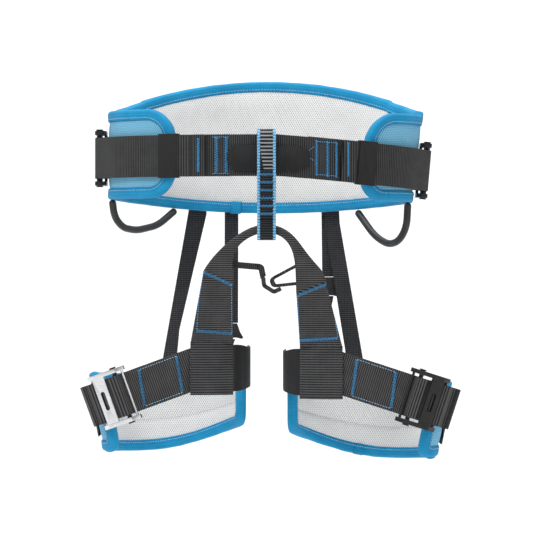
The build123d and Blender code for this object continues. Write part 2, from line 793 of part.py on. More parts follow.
for side, ending in ((-1, "left"), (1, "right")):
    low, high = SLEEVE_Z[side]
    low, high = low + 3.5, high - 3.5
    band_outline = ((side * 72, low), (side * 5, low), (side * 5, high), (side * 72, high))
    trimmed_wall(side, "thigh_band_" + ending, (12.8, 14.8), band_outline, -130, 34)
    inner_z = -248 if side < 0 else -256
    outer_z = -290 if side < 0 else -297
    back_outline = (
        (side * 5, inner_z - 21),
        (side * 215, outer_z - 21),
        (side * 215, outer_z + 21),
        (side * 5, inner_z + 21),
    )
    cut = (side * 40, 35 - 60, 90, 120)
    trimmed_wall(side, "leg_webbing_back_" + ending, (10.1, 12.1), back_outline, -38, 110, cut)


# ---- straps that hang between the waist and the legs ----
def ribbon(name, side_path, bend, thick, outline):
    """A flat strap: its path in side view, trimmed to its outline in front view."""
    with BuildPart() as strip:
        with BuildSketch(Plane.YZ):
            with BuildLine():
                if len(side_path) > 2:
                    FilletPolyline(*side_path, radius=bend)
                else:
                    Line(*side_path)
            trace(line_width=thick)
        extrude(amount=240, both=True)
        with BuildSketch(Plane.XZ):
            with BuildLine():
                Polyline(*outline, close=True)
            make_face()
        extrude(amount=160, both=True, mode=Mode.INTERSECT)
    save(strip.part, name)


RIBBON = 1.8
ribbon(
    "rear_riser_outer_left",
    ((112.8, -32), (112.8, -68), (75.7, -230), (75.7, -254)),
    30,
    RIBBON,
    ((-84, -30), (-68, -30), (-68, -60), (-98, -190), (-102, -236), (-102, -260), (-118, -260), (-117, -225)),
)
ribbon(
    "rear_riser_inner_left",
    ((120.4, -32), (120.4, -68), (83.5, -182.5)),
    30,
    RIBBON,
    ((-47.5, -30), (-32, -30), (-32, -182.5), (-47.5, -182.5)),
)
ribbon(
    "rear_riser_outer_right",
    ((109.4, -32), (109.4, -68), (75.7, -230), (75.7, -258)),
    30,
    RIBBON,
    ((64, -30), (81, -30), (83, -70), (110, -232), (110, -264), (93, -264), (92, -236), (66, -70)),
)
ribbon(
    "rear_riser_inner_right",
    ((112.3, -32), (112.3, -68), (104, -130.5)),
    30,
    RIBBON,
    ((62, -30), (77, -30), (77, -130.5), (63, -130.5)),
)
ribbon(
    "rear_hook_loop_left",
    ((80.5, -200.8), (73.6, -230), (73.6, -252)),
    20,
    RIBBON,
    ((-50, -200.5), (-35, -200.5), (-44, -225), (-44, -260), (-60, -260), (-60, -225)),
)
ribbon(
    "rear_hook_loop_right",
    ((102.5, -152.6), (74.0, -232), (74.0, -256)),
    20,
    RIBBON,
    ((62, -152), (76, -152), (60, -230), (60, -262), (44, -262), (44, -228)),
)


def plate(name, points, y0, y1, corner):
    """A flat piece cut to an outline in front view, with rounded corners."""
    with BuildPart() as flat:
        with BuildSketch(Plane.XZ.offset(-y0)):
            with BuildLine():
                Polyline(*points, close=True)
            make_face()
            fillet(vertices(), corner)
        extrude(amount=-(y1 - y0))
    save(flat.part, name)


plate(
    "rear_hook_left",
    ((-48, -183), (-33, -183), (-29.5, -193), (-26, -199), (-28, -200.4), (-34, -199), (-48, -199.4)),
    79.6,
    84.0,
    0.6,
)
plate(
    "rear_hook_right",
    ((62, -131), (77, -131), (79, -146), (82.5, -151), (80, -153), (75, -151.6), (62, -151.8)),
    101.2,
    105.6,
    0.6,
)


def front_link(name, points, bend, wide, y0, y1):
    """A narrow piece that follows a path in front view."""
    with BuildPart() as link:
        with BuildSketch(Plane.XZ.offset(-y0)):
            with BuildLine():
                FilletPolyline(*points, radius=bend)
            trace(line_width=wide)
        extrude(amount=-(y1 - y0))
    save(link.part, name)


front_link("connector_strap_left", ((-42, -116.5), (-6.5, -119.5), (-2.0, -127.4)), 4, 6.8, -115.9, -114.5)
hook_path = ((-3.6, -130.4), (-2.6, -139.5), (8, -146.2), (15.6, -142.6))
front_link("connector_hook", hook_path, 3.2, 4.6, -118.4, -113.6)
loop_path = ((27, -116.5), (6.6, -126.4), (8.6, -134.2), (28, -136.8))
front_link("connector_loop_right", loop_path, 3.4, 3.4, -117, -110)


# ---- gear loops: moulded tubes that meet the waist pad's lower edge with ball ends ----
GEAR_TUBE_R = 4.0
GEAR_GAP = 0.3  # between a ball end and the pad's edge; the ball turns without closing it


def gear_loop(name, front, rear, hang, bends):
    """A ball-ended tube: front and rear are x, y and the pad edge's height, hang is along and up."""
    chord = Vector(rear[0], rear[1]) - Vector(front[0], front[1])
    along = chord.normalized()
    drop = GEAR_TUBE_R + GEAR_GAP
    upright = Plane(origin=(front[0], front[1], 0), x_dir=along, z_dir=along.cross(Vector(0, 0, 1)))
    with BuildPart() as tube:
        with BuildLine(upright) as route:
            FilletPolyline((0, front[2] - drop), *hang, (chord.length, rear[2] - drop), radius=bends)
        with BuildSketch(Plane(origin=route.wire() @ 0, z_dir=route.wire() % 0)):
            Circle(GEAR_TUBE_R)
        sweep()
        drawn = tube.part.volume / (math.pi * GEAR_TUBE_R**2 * route.wire().length)
        with Locations(route.wire() @ 0, route.wire() @ 1):
            Sphere(GEAR_TUBE_R)
    print(name, "drawn share", round(drawn, 4), "ends", route.wire() @ 0, route.wire() @ 1)
    save(tube.part, name)


gear_loop(
    "gear_loop_left",
    (-169.4, -5, HIP_LEFT[0]),
    (-105, 88.9, -53.15),
    ((3, -64), (18, -76), (44, -79), (84, -73)),
    (24, 32, 80, 80),
)
gear_loop(
    "gear_loop_right",
    (155.5, -5, HIP_RIGHT[0]),
    (103.7, 81.4, -55.07),
    ((2, -74), (15, -90), (37, -95), (66, -86)),
    (28, 32, 40, 90),
)
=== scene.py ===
import bisect
import json
import math
import random

import bpy
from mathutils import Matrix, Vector, noise
from mathutils.bvhtree import BVHTree

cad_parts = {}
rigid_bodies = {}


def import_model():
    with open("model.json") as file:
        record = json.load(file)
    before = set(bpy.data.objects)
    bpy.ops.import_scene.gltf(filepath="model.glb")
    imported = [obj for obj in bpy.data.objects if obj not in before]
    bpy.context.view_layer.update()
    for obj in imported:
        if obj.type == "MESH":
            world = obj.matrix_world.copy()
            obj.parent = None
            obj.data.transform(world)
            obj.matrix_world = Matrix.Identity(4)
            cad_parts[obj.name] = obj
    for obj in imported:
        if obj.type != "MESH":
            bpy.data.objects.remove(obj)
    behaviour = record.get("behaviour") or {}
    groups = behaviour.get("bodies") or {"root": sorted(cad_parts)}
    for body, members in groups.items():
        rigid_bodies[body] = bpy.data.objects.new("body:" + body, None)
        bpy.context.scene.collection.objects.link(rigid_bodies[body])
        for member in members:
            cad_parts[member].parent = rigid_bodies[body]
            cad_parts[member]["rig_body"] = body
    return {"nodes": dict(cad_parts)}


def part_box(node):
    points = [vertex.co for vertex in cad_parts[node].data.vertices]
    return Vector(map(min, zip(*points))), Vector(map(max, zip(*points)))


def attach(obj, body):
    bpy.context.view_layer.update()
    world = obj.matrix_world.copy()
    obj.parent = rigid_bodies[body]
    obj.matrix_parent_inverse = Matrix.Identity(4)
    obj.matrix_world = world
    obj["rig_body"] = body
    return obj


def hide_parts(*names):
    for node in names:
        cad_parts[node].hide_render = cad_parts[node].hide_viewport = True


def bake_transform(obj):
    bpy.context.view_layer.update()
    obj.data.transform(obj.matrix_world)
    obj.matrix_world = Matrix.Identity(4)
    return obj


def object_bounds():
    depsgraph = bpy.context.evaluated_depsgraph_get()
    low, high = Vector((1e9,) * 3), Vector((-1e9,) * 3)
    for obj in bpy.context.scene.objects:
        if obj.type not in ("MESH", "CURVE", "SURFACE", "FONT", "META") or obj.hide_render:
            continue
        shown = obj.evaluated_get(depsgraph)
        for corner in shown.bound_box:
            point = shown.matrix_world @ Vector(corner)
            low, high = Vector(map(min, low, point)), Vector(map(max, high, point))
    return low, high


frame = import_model()
REST_LOW, REST_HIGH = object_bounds()
nodes = frame["nodes"]
random.seed(11)
MM = 0.001
SIDES = ((-1, "left"), (1, "right"))


# ---------------------------------------------------------------- materials
class Shader:
    """A small helper round one material's node tree. UV maps are in millimetres."""

    def __init__(self, name):
        self.mat = bpy.data.materials.new(name)
        self.mat.use_nodes = True
        self.tree = self.mat.node_tree
        self.bsdf = self.tree.nodes["Principled BSDF"]

    def node(self, kind, **values):
        n = self.tree.nodes.new(kind)
        for key, value in values.items():
            setattr(n, key, value)
        return n

    def link(self, a, b):
        self.tree.links.new(a, b)

    def math(self, op, a, b=0.0, c=0.0):
        n = self.node("ShaderNodeMath", operation=op)
        for i, v in enumerate((a, b, c)):
            if isinstance(v, (int, float)):
                n.inputs[i].default_value = v
            else:
                self.link(v, n.inputs[i])
        return n.outputs[0]

    def uv(self):
        s = self.node("ShaderNodeSeparateXYZ")
        self.link(self.node("ShaderNodeTexCoord").outputs["UV"], s.inputs[0])
        return s.outputs[0], s.outputs[1]

    def stripes(self, value, pitch, sharp=1.0):
        """0..1 ribs of one pitch in millimetres along a coordinate."""
        w = self.math("SINE", self.math("MULTIPLY", value, 2 * math.pi / pitch))
        w = self.math("MULTIPLY_ADD", w, 0.5, 0.5)
        return w if sharp == 1.0 else self.math("POWER", w, sharp)

    def noise(self, scale, detail=3.0, rough=0.6, space="Object"):
        n = self.node("ShaderNodeTexNoise")
        n.inputs["Scale"].default_value = scale
        n.inputs["Detail"].default_value = detail
        n.inputs["Roughness"].default_value = rough
        self.link(self.node("ShaderNodeTexCoord").outputs[space], n.inputs["Vector"])
        return n.outputs["Fac"]

    def ramp(self, value, dark, light, low=0.0, high=1.0):
        r = self.node("ShaderNodeValToRGB")
        r.color_ramp.elements[0].position = low
        r.color_ramp.elements[1].position = high
        r.color_ramp.elements[0].color = (*dark, 1)
        r.color_ramp.elements[1].color = (*light, 1)
        self.link(value, r.inputs[0])
        return r.outputs[0]

    def finish(self, color, height=None, bump=0.4, depth=0.0005, rough=0.7, sheen=0.0, metal=0.0, spec=0.5):
        self.link(color, self.bsdf.inputs["Base Color"])
        if isinstance(rough, (int, float)):
            self.bsdf.inputs["Roughness"].default_value = rough
        else:
            self.link(rough, self.bsdf.inputs["Roughness"])
        self.bsdf.inputs["Metallic"].default_value = metal
        self.bsdf.inputs["Specular IOR Level"].default_value = spec
        self.bsdf.inputs["Sheen Weight"].default_value = sheen
        self.bsdf.inputs["Sheen Roughness"].default_value = 0.5
        if height is not None:
            b = self.node("ShaderNodeBump")
            b.inputs["Strength"].default_value = bump
            b.inputs["Distance"].default_value = depth
            self.link(height, b.inputs["Height"])
            self.link(b.outputs[0], self.bsdf.inputs["Normal"])
        return self.mat


def webbing(name, dark, light, rib=2.4, warp=1.3, rib_part=0.75, wear=0.35, rough=0.62):
    """Woven strap: ribs across it, warp threads along it, and a little wear."""
    m = Shader(name)
    u, v = m.uv()
    ribs = m.stripes(u, rib, 0.8)
    threads = m.stripes(v, warp)
    weave = m.math("ADD", m.math("MULTIPLY", ribs, rib_part), m.math("MULTIPLY", threads, 1 - rib_part))
    worn = m.math("MULTIPLY", m.math("SUBTRACT", m.noise(55), 0.5), wear)
    shade = m.math("ADD", weave, worn)
    return m.finish(m.ramp(shade, dark, light, 0.25, 1.0), weave, 0.9, 0.0007, rough, 0.03, spec=0.22)


def mesh_cloth(name, dark, light, pitch, sheen=0.2, bump=0.5):
    """Knitted spacer mesh: crossed diagonals that leave small dark holes."""
    m = Shader(name)
    u, v = m.uv()
    one = m.stripes(m.math("ADD", u, m.math("MULTIPLY", v, 0.62)), pitch)
    two = m.stripes(m.math("SUBTRACT", u, m.math("MULTIPLY", v, 0.62)), pitch)
    knit = m.math("MAXIMUM", one, two)
    soft = m.math("MULTIPLY", m.math("SUBTRACT", m.noise(30), 0.5), 0.35)
    shade = m.ramp(m.math("ADD", knit, soft), dark, light, 0.3, 0.9)
    return m.finish(shade, knit, bump, 0.0007, 0.9, sheen, spec=0.15)


def tape(name, dark, light):
    """Folded binding tape: fine cross ribs and a faint lengthwise grain."""
    m = Shader(name)
    u, v = m.uv()
    ribs = m.stripes(u, 1.5)
    grain = m.stripes(v, 1.1)
    weave = m.math("ADD", m.math("MULTIPLY", ribs, 0.6), m.math("MULTIPLY", grain, 0.4))
    tone = m.math("ADD", m.math("MULTIPLY", weave, 0.5), m.math("MULTIPLY", m.noise(40), 0.5))
    return m.finish(m.ramp(tone, dark, light, 0.2, 0.8), weave, 0.45, 0.0004, 0.75, 0.06, spec=0.2)


def thread(name, dark, light):
    m = Shader(name)
    fleck = m.noise(900, 2)
    return m.finish(m.ramp(fleck, dark, light, 0.35, 0.65), fleck, 0.3, 0.0002, 0.55, 0.3)


def steel(name, dark, light, rough_low, rough_high, metal=1.0):
    """Pressed steel: brushed along its length, with scuffs that change its gloss."""
    m = Shader(name)
    mapping = m.node("ShaderNodeMapping")
    mapping.inputs["Scale"].default_value = (1.0, 1.0, 14.0)
    m.link(m.node("ShaderNodeTexCoord").outputs["Object"], mapping.inputs[0])
    n = m.node("ShaderNodeTexNoise")
    n.inputs["Scale"].default_value = 120
    n.inputs["Detail"].default_value = 5
    m.link(mapping.outputs[0], n.inputs["Vector"])
    scuff = m.noise(70, 5)
    r = m.node("ShaderNodeMapRange")
    r.inputs["To Min"].default_value = rough_low
    r.inputs["To Max"].default_value = rough_high
    m.link(scuff, r.inputs["Value"])
    tone = m.math("ADD", m.math("MULTIPLY", n.outputs["Fac"], 0.5), m.math("MULTIPLY", scuff, 0.5))
    shade = m.ramp(tone, dark, light, 0.3, 0.7)
    return m.finish(shade, n.outputs["Fac"], 0.12, 0.0002, r.outputs[0], metal=metal)


def moulded(name, dark, light, rough=0.45):
    m = Shader(name)
    grain = m.noise(700, 3)
    cloud = m.noise(45, 3)
    tone = m.math("ADD", m.math("MULTIPLY", grain, 0.4), m.math("MULTIPLY", cloud, 0.6))
    return m.finish(m.ramp(tone, dark, light, 0.3, 0.7), grain, 0.25, 0.0002, rough)


def paper(name, tone):
    m = Shader(name)
    return m.finish(m.ramp(m.noise(3, 2), (tone * 0.985,) * 3, (tone,) * 3), rough=0.95, spec=0.1)


BELT = webbing("webbing_black", (0.005, 0.005, 0.006), (0.080, 0.081, 0.083))
LEGWEB = webbing("webbing_black_leg", (0.004, 0.004, 0.005), (0.115, 0.112, 0.114), 2.3)
SLEEVE = webbing("sleeve_ribbed", (0.007, 0.007, 0.008), (0.105, 0.105, 0.108), 2.7)
SMOOTH = webbing("sleeve_smooth", (0.006, 0.006, 0.007), (0.034, 0.034, 0.035), 1.3, 0.9, 0.5, 0.25, 0.5)
ELASTIC = webbing("elastic_black", (0.005, 0.005, 0.006), (0.075, 0.076, 0.08), 2.2, 1.7, 0.6)
LINING = mesh_cloth("mesh_lining_grey", (0.48, 0.48, 0.48), (0.93, 0.93, 0.92), 2.6, 0.03)
SHELL = mesh_cloth("mesh_shell_blue", (0.035, 0.22, 0.42), (0.26, 0.60, 0.80), 2.3, 0.05)
BINDING = tape("binding_blue", (0.004, 0.170, 0.38), (0.020, 0.37, 0.66))
THREAD = thread("thread_blue", (0.02, 0.26, 0.66), (0.10, 0.52, 0.92))
PALE = thread("thread_pale", (0.12, 0.40, 0.72), (0.42, 0.70, 0.90))
GREY = thread("thread_grey", (0.30, 0.31, 0.33), (0.62, 0.63, 0.65))
BLACK_STEEL = steel("steel_black", (0.010, 0.010, 0.011), (0.035, 0.035, 0.037), 0.22, 0.42, 0.6)
BRIGHT_STEEL = steel("steel_bright", (0.52, 0.53, 0.54), (0.80, 0.81, 0.82), 0.12, 0.30)
PLASTIC = moulded("plastic_black", (0.008, 0.008, 0.009), (0.030, 0.030, 0.032))
TUBE = moulded("tube_black", (0.010, 0.010, 0.011), (0.026, 0.026, 0.028), 0.38)


def loop_webbing(name, dark, light, pitch):
    """Belay loop tape: black with pale cross ribs, and bright edges with pale flecks."""
    m = Shader(name)
    u, v = m.uv()
    ribs = m.stripes(u, pitch, 2.6)
    fleck = m.stripes(u, 3.1, 3.0)
    edge = m.math("GREATER_THAN", m.math("ABSOLUTE", v), 6.9)
    patches = m.math("MULTIPLY", m.math("SUBTRACT", m.noise(80), 0.5), 0.3)
    body_ = m.ramp(m.math("ADD", ribs, patches), dark, light)
    rim = m.ramp(fleck, (0.012, 0.34, 0.66), (0.55, 0.86, 0.92), 0.3, 1.0)
    mix = m.node("ShaderNodeMix", data_type="RGBA")
    m.link(edge, mix.inputs["Factor"])
    m.link(body_, mix.inputs["A"])
    m.link(rim, mix.inputs["B"])
    height = m.math("ADD", ribs, m.math("MULTIPLY", m.stripes(v, 1.2), 0.3))
    return m.finish(mix.outputs["Result"], height, 0.9, 0.0009, 0.6, 0.03, spec=0.2)


LOOPWEB = loop_webbing("belay_webbing", (0.003, 0.003, 0.004), (0.42, 0.44, 0.46), 3.9)
LAPWEB = loop_webbing("belay_webbing_lap", (0.003, 0.003, 0.004), (0.05, 0.055, 0.06), 2.6)


# ---------------------------------------------------------------- meshes
def make(name, verts, faces, uvs=None, mats=(), face_mats=None, smooth=True):
    """A mesh object from lists; uvs holds one pair for each vertex."""
    data = bpy.data.meshes.new(name)
    data.from_pydata([tuple(v) for v in verts], [], faces)
    data.update()
    if uvs is not None:
        layer = data.uv_layers.new(name="UVMap")
        for loop in data.loops:
            layer.data[loop.index].uv = uvs[loop.vertex_index]
    for m in mats:
        data.materials.append(m)
    if face_mats:
        data.polygons.foreach_set("material_index", face_mats)
    data.polygons.foreach_set("use_smooth", [smooth] * len(data.polygons))
    obj = bpy.data.objects.new(name, data)
    bpy.context.scene.collection.objects.link(obj)
    return obj


def wobble(p, scale, amount):
    """A smooth small random shift of a point."""
    return noise.noise_vector(p * scale) * amount


class Thread:
    """Collects stitches as one mesh."""

    def __init__(self):
        self.verts, self.faces = [], []

    def tube(self, points, radius, sides=5):
        """A round thread through points, closed at both ends."""
        first = len(self.verts)
        n = len(points)
        for i, p in enumerate(points):
            t = (points[min(i + 1, n - 1)] - points[max(i - 1, 0)]).normalized()
            a = t.cross(Vector((0.31, 0.2, 0.93))).normalized()
            b = t.cross(a)
            r = radius * (0.6 if i in (0, n - 1) else 1.0)
            for k in range(sides):
                w = 2 * math.pi * k / sides
                self.verts.append(p + (a * math.cos(w) + b * math.sin(w)) * r)
        for i in range(n - 1):
            for k in range(sides):
                j = (k + 1) % sides
                q = first + i * sides
                self.faces.append((q + k, q + j, q + sides + j, q + sides + k))
        self.faces.append(tuple(first + k for k in range(sides))[::-1])
        self.faces.append(tuple(first + (n - 1) * sides + k for k in range(sides)))

    def dash(self, a, b, normal, radius=0.00042):
        """One stitch that dips into the cloth at both ends."""
        mid = (a + b) / 2 + normal * radius * 0.8
        self.tube([a - normal * radius * 0.7, a.lerp(b, 0.22) + normal * radius * 0.6, mid,
                   a.lerp(b, 0.78) + normal * radius * 0.6, b - normal * radius * 0.7], radius)

    def build(self, name, material, body):
        obj = make(name, self.verts, self.faces, None, (material,))
        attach(obj, body)
        return obj


# ---------------------------------------------------------------- the two kinds of wall that the pads follow
WAIST = dict(depth=110, side=80, left=-165, right=157.4, lean=0.12)


def waist_oval(z, out):
    """Centre x, half width, half depth, side radius and long radius, in millimetres."""
    right = WAIST["right"] + WAIST["lean"] * z
    a = (right - WAIST["left"]) / 2
    r, b = WAIST["side"], WAIST["depth"]
    long_r = ((a - r) ** 2 + b * b - r * r) / (2 * (b - r))
    return (right + WAIST["left"]) / 2, a + out, b + out, r + out, long_r + out


def waist_at(turn, z, out):
    """Point and normal; turn goes from the front to the left, the back and the right, in degrees."""
    cx, a, b, r, long_r = waist_oval(z, out)
    half = math.degrees(math.atan2(long_r - b, a - r))
    angle = -90 - turn
    nx, ny = math.cos(math.radians(angle)), math.sin(math.radians(angle))
    if abs(turn - 90) <= half:
        p = (cx - a + r + r * nx, r * ny)
    elif abs(turn - 270) <= half:
        p = (cx + a - r + r * nx, r * ny)
    elif 90 < turn < 270:
        p = (cx + long_r * nx, b - long_r + long_r * ny)
    else:
        p = (cx + long_r * nx, long_r - b + long_r * ny)
    return Vector((p[0], p[1], z)) * MM, Vector((nx, ny, 0))


def leg_at_for(side):
    """The same for one leg: turn runs from 0 to 8 over the sides and corners of a rounded box."""

    def at(turn, z, out):
        if side < 0:
            outer, inner = -183 - 0.18 * (z + 243), -32.5
        else:
            outer, inner = 192 + 0.2 * (z + 252), 33.0
        cx, a, b, r = (outer + inner) / 2, abs(outer - inner) / 2, 70.0, 42.0
        part = min(int(turn), 7)
        t = turn - part
        # corners of the inner box of arc centres, walked outwards, back, inwards, front
        c = [(a - r, -(b - r)), (a - r, b - r), (-(a - r), b - r), (-(a - r), -(b - r))]
        if part in (0, 2, 4, 6):
            k = part // 2
            start, end = c[k - 1] if k else c[3], c[k]
            angle = (-90, 0, 90, 180)[k]
            q = (start[0] + (end[0] - start[0]) * t, start[1] + (end[1] - start[1]) * t)
        else:
            q = c[part // 2]
            angle = (-90, 0, 90, 180)[part // 2] + 90 * t
        nx, ny = math.cos(math.radians(angle)), math.sin(math.radians(angle))
        x, y = q[0] + (r + out) * nx, q[1] + (r + out) * ny
        return Vector((cx + side * x, y - 8, z)) * MM, Vector((side * nx, ny, 0))

    return at


class Wall:
    """A wall measured by arc length s and height z, both in millimetres."""

    def __init__(self, at, first, last, z, samples=900):
        self.at = at
        self.turns = [first + (last - first) * i / samples for i in range(samples + 1)]
        self.lengths = [0.0]
        for a, b in zip(self.turns, self.turns[1:]):
            self.lengths.append(self.lengths[-1] + (at(b, z, 4.5)[0] - at(a, z, 4.5)[0]).length / MM)
        self.length = self.lengths[-1]

    def turn(self, s):
        s = min(max(s, 0.0), self.length)
        i = min(max(bisect.bisect_right(self.lengths, s) - 1, 0), len(self.lengths) - 2)
        span = self.lengths[i + 1] - self.lengths[i]
        return self.turns[i] + (self.turns[i + 1] - self.turns[i]) * (s - self.lengths[i]) / (span or 1)

    def point(self, s, z, out):
        return self.at(self.turn(s), z, out)[0]

    def normal(self, s, z=0):
        return self.at(self.turn(s), z, 4.5)[1]

    def find(self, test):
        """The first s, from the start, where test(point in mm) is true."""
        s = 0.0
        while s < self.length and not test(self.point(s, self.level, 4.5) / MM):
            s += 0.1
        return s


def circle_height(a, b, c):
    """Height over x of the circle through three points of the XZ plane."""
    (ax, ay), (bx, by), (cx, cy) = a, b, c
    d = 2 * (ax * (by - cy) + bx * (cy - ay) + cx * (ay - by))
    ux = ((ax**2 + ay**2) * (by - cy) + (bx**2 + by**2) * (cy - ay) + (cx**2 + cy**2) * (ay - by)) / d
    uy = ((ax**2 + ay**2) * (cx - bx) + (bx**2 + by**2) * (ax - cx) + (cx**2 + cy**2) * (bx - ax)) / d
    radius = math.hypot(ax - ux, ay - uy)
    sign = 1 if by > uy else -1
    return lambda x: uy + sign * math.sqrt(max(radius**2 - (x - ux) ** 2, 0))


# ---------------------------------------------------------------- padded pieces
class Pad:
    """A crowned pad on a wall between s0 and s1, with its lower and upper edge as functions of s."""

    def __init__(self, wall, s0, s1, low, high, channel=None, seed=0):
        self.wall, self.s0, self.s1, self.low, self.high = wall, s0, s1, low, high
        self.channel = channel
        self.seed = Vector((seed, seed * 1.7, 0))
        n = int((s1 - s0) / 3.5)
        ends = [i * 0.9 for i in range(12)]
        inner = [s0 + 11 + (s1 - s0 - 22) * i / n for i in range(n + 1)]
        self.columns = [s0 + e for e in ends] + inner + [s1 - e for e in reversed(ends)]

    def thickness(self, s, z, edge):
        """(inner, outer) distances of the two faces from the wall's inner surface."""
        rise = min(max(edge - 8.0, 0) / 20.0, 1.0)
        crown = math.sqrt(max(1 - (1 - rise) ** 2, 0))
        dip = 0.0
        if self.channel:
            dip = math.exp(-(((z - self.channel(s)) / 3.2) ** 2))
        p = self.wall.point(s, z, 4.5)
        ripple = noise.noise((p + self.seed) * 22) * 0.9 + noise.noise((p + self.seed) * 60) * 0.35
        inner = 2.4 - 4.6 * crown * (1 - 0.75 * dip) + ripple * crown
        outer = 6.6 + 2.2 * crown * (1 - 0.5 * dip)
        return inner, outer

    def build(self, name, body, replaced, fill):
        rows = 34
        verts, uvs, faces, mats = [], [], [], []
        for face in (0, 1):
            for s in self.columns:
                z0, z1 = self.low(s) + 1.5, self.high(s) - 1.5
                for j in range(rows + 1):
                    w = 0.5 - 0.5 * math.cos(math.pi * j / rows)
                    w = 0.55 * w + 0.45 * j / rows
                    z = z0 + (z1 - z0) * w
                    edge = min(z - z0, z1 - z, s - self.s0, self.s1 - s)
                    verts.append(self.wall.point(s, z, self.thickness(s, z, max(edge, 0))[face]))
                    uvs.append((s, z))
        count, stride = len(self.columns), rows + 1
        half = count * stride
        for i in range(count - 1):
            for j in range(rows):
                q = i * stride + j
                faces.append((q, q + 1, q + stride + 1, q + stride))
                mats.append(0)
                q += half
                faces.append((q, q + stride, q + stride + 1, q + 1))
                mats.append(1)
        for i in range(count - 1):
            for q in (i * stride, i * stride + rows):
                f = (q, q + stride, q + stride + half, q + half)
                faces.append(f if q == i * stride else f[::-1])
                mats.append(1)
        for j in range(rows):
            for q in (j, (count - 1) * stride + j):
                f = (q, q + half, q + half + 1, q + 1)
                faces.append(f if q == j else f[::-1])
                mats.append(1)
        obj = make(name, verts, faces, uvs, (LINING, SHELL), mats)
        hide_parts(*replaced)
        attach(obj, body)
        return obj

    def border(self, step=3.0):
        """The closed edge as (s, z) points, evenly spaced."""
        raw = [(s, self.high(s)) for s in self.columns]
        raw += [(s, self.low(s)) for s in reversed(self.columns)]
        raw.append(raw[0])
        out, left = [], 0.0
        for a, b in zip(raw, raw[1:]):
            d = math.hypot(b[0] - a[0], b[1] - a[1])
            while left < d:
                t = left / d
                out.append((a[0] + (b[0] - a[0]) * t, a[1] + (b[1] - a[1]) * t))
                left += step
            left -= d
        return out

    def edge_frames(self, step=3.0):
        """For each border point: (s, z, inward direction)."""
        pts = self.border(step)
        n = len(pts)
        frames = []
        for i, (s, z) in enumerate(pts):
            a, b = pts[(i - 1) % n], pts[(i + 1) % n]
            ts, tz = b[0] - a[0], b[1] - a[1]
            length = math.hypot(ts, tz) or 1
            frames.append((s, z, (tz / length, -ts / length)))
        return frames

    def on_edge(self, frame_, d, out):
        s, z, inward = frame_
        return self.wall.point(s + inward[0] * d, z + inward[1] * d, out)

    def bind(self, name, body, node, lap_at=None):
        """The folded tape round the edge, with its two stitch rows and the lap where it ends."""
        profile = [
            (11.7, 1.0), (11.4, -0.2), (9.8, -0.6), (7.2, -0.8), (3.2, -1.2), (1.0, -0.2),
            (-0.1, 2.2), (-0.4, 4.5), (-0.1, 6.8), (1.0, 9.1), (3.2, 10.0), (7.2, 9.5),
            (9.8, 9.3), (11.4, 9.0), (11.7, 7.8), (10.4, 7.4),
            (3.4, 8.2), (1.6, 4.5), (3.4, 0.8), (10.4, 1.6),
        ]
        frames = self.edge_frames()
        n, m = len(frames), len(profile)
        verts, uvs, faces = [], [], []
        for i, f in enumerate(frames + frames[:1]):
            i_here = i % n
            for k, (d, out) in enumerate(profile):
                soft = noise.noise(Vector((i_here * 0.21, k * 0.13, self.seed.x))) * 0.45
                pucker = 0.25 * math.sin(i_here * 2.4) if 7 < d < 10 else 0.0
                lift = pucker if out > 4.5 else -pucker
                verts.append(self.on_edge(f, d + soft * 0.8, out + lift + soft * 0.35))
                uvs.append((i * 3.0, k * 1.6))
        for i in range(n):
            for k in range(m):
                a, b = i * m + k, i * m + (k + 1) % m
                faces.append((a, b, b + m, a + m))
        obj = make(name, verts, faces, uvs, (BINDING,))
        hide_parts(node)
        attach(obj, body)
        rows = Thread()
        fine = self.edge_frames(3.4)
        for i, f in enumerate(fine):
            g = fine[(i + 1) % len(fine)]
            for out, sign in ((-0.95, -1), (9.55, 1)):
                a, b = self.on_edge(f, 8.8, out), self.on_edge(g, 8.8, out)
                normal = self.wall.normal(f[0]) * sign
                rows.dash(a, a.lerp(b, 0.66), normal, 0.00040)
        rows.build(name + "_stitching", PALE, body)
        if lap_at is not None:
            verts, faces, uvs = [], [], []
            near = min(range(n), key=lambda i: abs(frames[i][0] - lap_at[0]) + abs(frames[i][1] - lap_at[1]))
            picked = [frames[(near + k) % n] for k in range(5)]
            for i, f in enumerate(picked):
                for k, (d, out) in enumerate(profile[:15]):
                    grow = -0.5 if out < 4.5 else 0.5
                    verts.append(self.on_edge(f, d - (0.5 if d < 2 else -0.2), out + grow))
                    uvs.append((i * 3.0 + 40, k * 1.6))
            for i in range(len(picked) - 1):
                for k in range(14):
                    a = i * 15 + k
                    faces.append((a, a + 1, a + 16, a + 15))
            lap = make(name + "_lap", verts, faces, uvs, (BINDING,))
            thick = lap.modifiers.new("thick", "SOLIDIFY")
            thick.thickness = 0.0006
            thick.offset = -1
            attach(lap, body)


def seam_row(threads, wall, line, out, pitch=3.6, radius=0.00036):
    """Running stitches on a wall along line(t) -> (s, z), t from 0 to 1."""
    pts = [line(i / 400) for i in range(401)]
    left, last = 0.0, None
    for a, b in zip(pts, pts[1:]):
        d = math.hypot(b[0] - a[0], b[1] - a[1])
        left += d
        if left >= pitch:
            left = 0.0
            if last is not None:
                o = out(*last), out(*b)
                p, q = wall.point(last[0], last[1], o[0]), wall.point(b[0], b[1], o[1])
                threads.dash(p, p.lerp(q, 0.62), wall.normal(b[0]) * -1, radius)
            last = b


waist = Wall(waist_at, 8.0, 352.0, 0)
waist.level = 0
back_high = circle_height((-172, 51), (-5, 90), (172, 47))
back_low = circle_height((-172, -45), (0, -58.5), (172, -48))
w0 = waist.find(lambda p: p.x <= -98.2)
w1 = waist.length
while waist.point(w1, 0, 4.5).x / MM < 104.2:
    w1 -= 0.1


